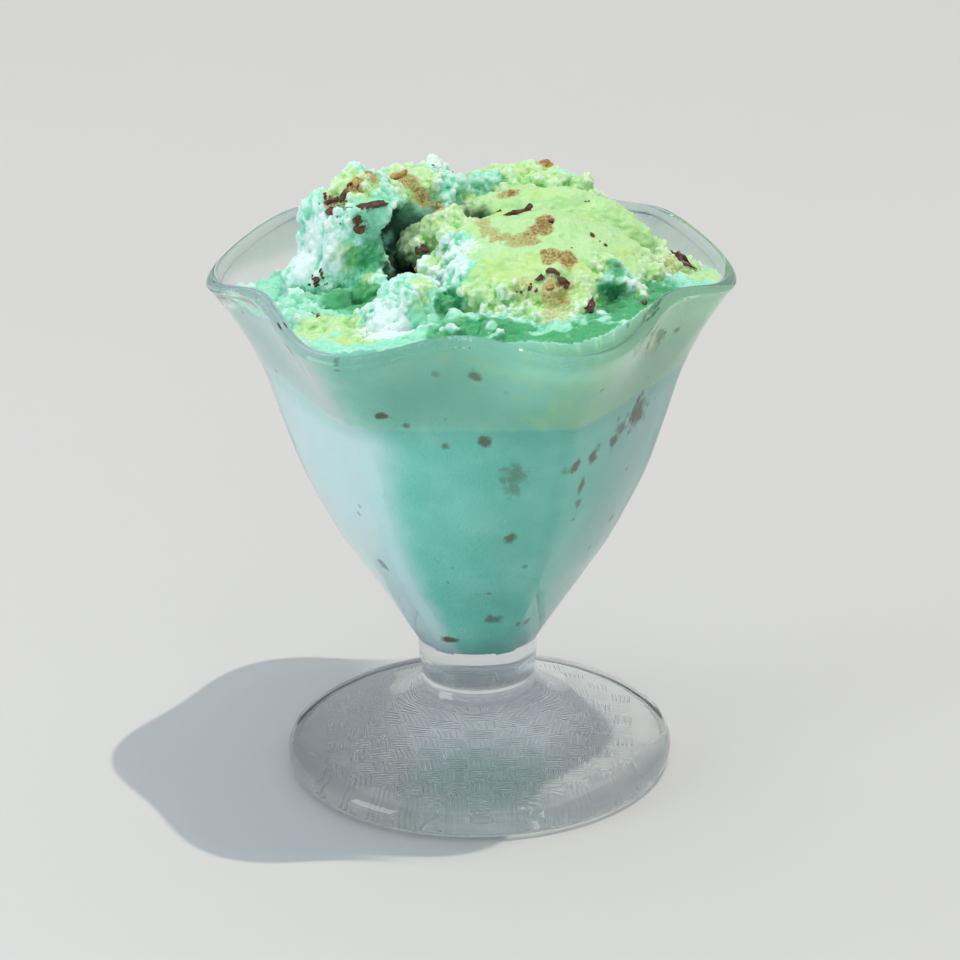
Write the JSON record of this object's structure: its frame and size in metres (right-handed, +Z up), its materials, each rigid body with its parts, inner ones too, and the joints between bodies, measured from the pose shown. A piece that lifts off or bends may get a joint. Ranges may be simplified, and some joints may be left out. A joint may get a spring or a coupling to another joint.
{
  "type": "gelato cup",
  "caption": "Footed clear glass cup with a wavy rim and panelled sides, filled and heaped with pale green and aqua gelato with chocolate and caramel bits.",
  "frame": {"origin": "centre of the foot's flat underside, on the glass's axis", "axes": "+Z up along the glass's axis, -Y towards the viewer of the picture, +X to the viewer's right"},
  "size_m": [0.1066, 0.0992, 0.1287],
  "materials": {
    "glass": "clear pressed glass, polished",
    "fill_gelato": "dense aqua green gelato, packed and slightly wet against the wall",
    "lime_gelato": "pale lime gelato, smooth where scooped and icy where torn",
    "aqua_gelato": "pale aqua gelato, icy and torn"
  },
  "bodies": {
    "root": {"glass": "glass", "gelato_fill": "fill_gelato", "scoop_right": "lime_gelato", "scoop_front": "aqua_gelato", "scoop_left": "aqua_gelato", "scoop_back": "lime_gelato", "scoop_side": "lime_gelato"}
  },
  "joints": []
}
